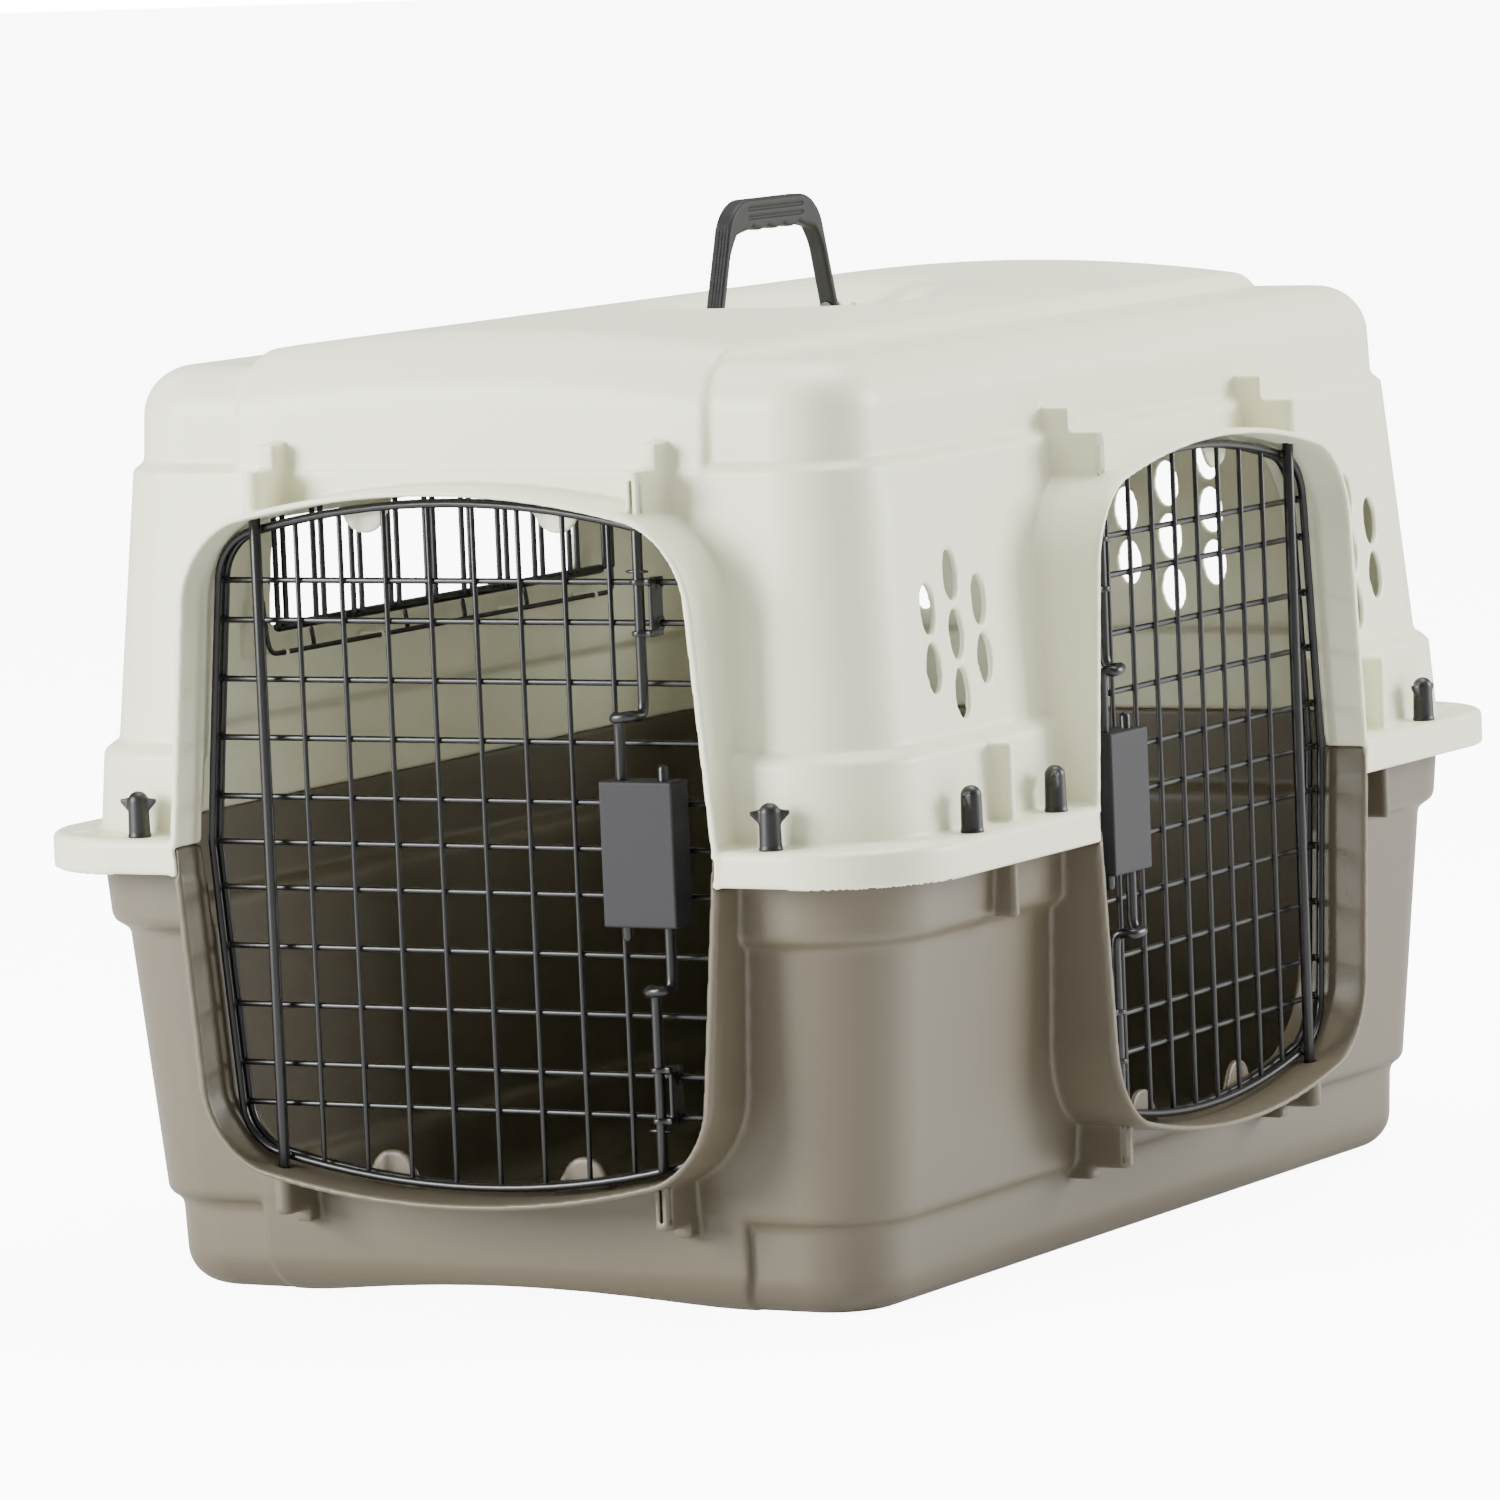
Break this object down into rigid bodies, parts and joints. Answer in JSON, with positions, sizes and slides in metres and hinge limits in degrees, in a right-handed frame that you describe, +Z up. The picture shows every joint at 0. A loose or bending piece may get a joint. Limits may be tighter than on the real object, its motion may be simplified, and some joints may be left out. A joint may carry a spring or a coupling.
{
  "type": "pet transport carrier",
  "caption": "Two-tone plastic pet carrier: bolted upper and lower shells, wire doors on the front and one side, sprung double-rod latches, side window guard, folding handle.",
  "frame": {"origin": "centre of the bounding box, at the floor", "axes": "+Z up, -Y towards the front door, +X towards the side door"},
  "size_m": [0.5, 0.7, 0.522],
  "materials": {
    "upper_plastic": "satin moulded",
    "lower_plastic": "satin moulded",
    "black_wire": "gloss coated",
    "latch_plastic": "satin moulded",
    "handle_plastic": "satin moulded",
    "nut_plastic": "gloss moulded",
    "spring_steel": "bright"
  },
  "bodies": {
    "shell": {"upper_shell": "upper_plastic", "lower_shell": "lower_plastic", "handle_pivot_pins": "black_wire", "window_grille_wires": "black_wire", "window_sill_rod": "black_wire", "window_clips": "upper_plastic", "window_lower_wire": "black_wire", "flange_bolts": "spring_steel", "wing_nut_01": "nut_plastic", "wing_nut_02": "nut_plastic", "wing_nut_03": "nut_plastic", "wing_nut_04": "nut_plastic", "wing_nut_05": "nut_plastic", "wing_nut_06": "nut_plastic", "wing_nut_07": "nut_plastic", "wing_nut_08": "nut_plastic", "wing_nut_09": "nut_plastic", "wing_nut_10": "nut_plastic", "wing_nut_11": "nut_plastic"},
    "front_door": {"front_door_frame": "black_wire", "front_door_level_wires": "black_wire", "front_door_upright_wires": "black_wire", "front_hinge_rod": "black_wire", "front_latch_housing": "latch_plastic", "front_latch_back_plate": "latch_plastic", "front_upper_spring": "spring_steel", "front_lower_spring": "spring_steel", "front_upper_rod_guide": "black_wire", "front_lower_rod_guide": "black_wire"},
    "front_upper_latch": {"front_upper_latch_rod": "black_wire"},
    "front_lower_latch": {"front_lower_latch_rod": "black_wire"},
    "side_door": {"side_door_frame": "black_wire", "side_door_level_wires": "black_wire", "side_door_upright_wires": "black_wire", "side_hinge_rod": "black_wire", "side_latch_housing": "latch_plastic", "side_latch_back_plate": "latch_plastic", "side_upper_spring": "spring_steel", "side_lower_spring": "spring_steel", "side_upper_rod_guide": "black_wire", "side_lower_rod_guide": "black_wire"},
    "side_upper_latch": {"side_upper_latch_rod": "black_wire"},
    "side_lower_latch": {"side_lower_latch_rod": "black_wire"},
    "handle": {"handle": "handle_plastic"}
  },
  "joints": [
    {"name": "front_door_hinge", "type": "hinge", "parent": "shell", "child": "front_door", "pos_m": [-0.107, -0.3323, 0.227], "axis": [0, 0, -1], "range_deg": [0, 80]},
    {"name": "front_upper_latch_slide", "type": "slide", "parent": "front_door", "child": "front_upper_latch", "axis": [0, 0, 1], "range_m": [0, 0.012], "stiffness_N_per_m": 120, "springref_m": 0.014, "deforming": ["front_upper_spring"]},
    {"name": "front_lower_latch_slide", "type": "slide", "parent": "front_door", "child": "front_lower_latch", "axis": [0, 0, -1], "range_m": [0, 0.012], "stiffness_N_per_m": 120, "springref_m": 0.014, "deforming": ["front_lower_spring"]},
    {"name": "side_door_hinge", "type": "hinge", "parent": "shell", "child": "side_door", "pos_m": [0.2323, 0.116, 0.227], "axis": [0, 0, 1], "range_deg": [0, 80]},
    {"name": "side_upper_latch_slide", "type": "slide", "parent": "side_door", "child": "side_upper_latch", "axis": [0, 0, 1], "range_m": [0, 0.012], "stiffness_N_per_m": 120, "springref_m": 0.014, "deforming": ["side_upper_spring"]},
    {"name": "side_lower_latch_slide", "type": "slide", "parent": "side_door", "child": "side_lower_latch", "axis": [0, 0, -1], "range_m": [0, 0.012], "stiffness_N_per_m": 120, "springref_m": 0.014, "deforming": ["side_lower_spring"]},
    {"name": "handle_pivot", "type": "hinge", "parent": "shell", "child": "handle", "pos_m": [0, 0, 0.461], "axis": [0, 1, 0], "range_deg": [-80, 80]}
  ]
}
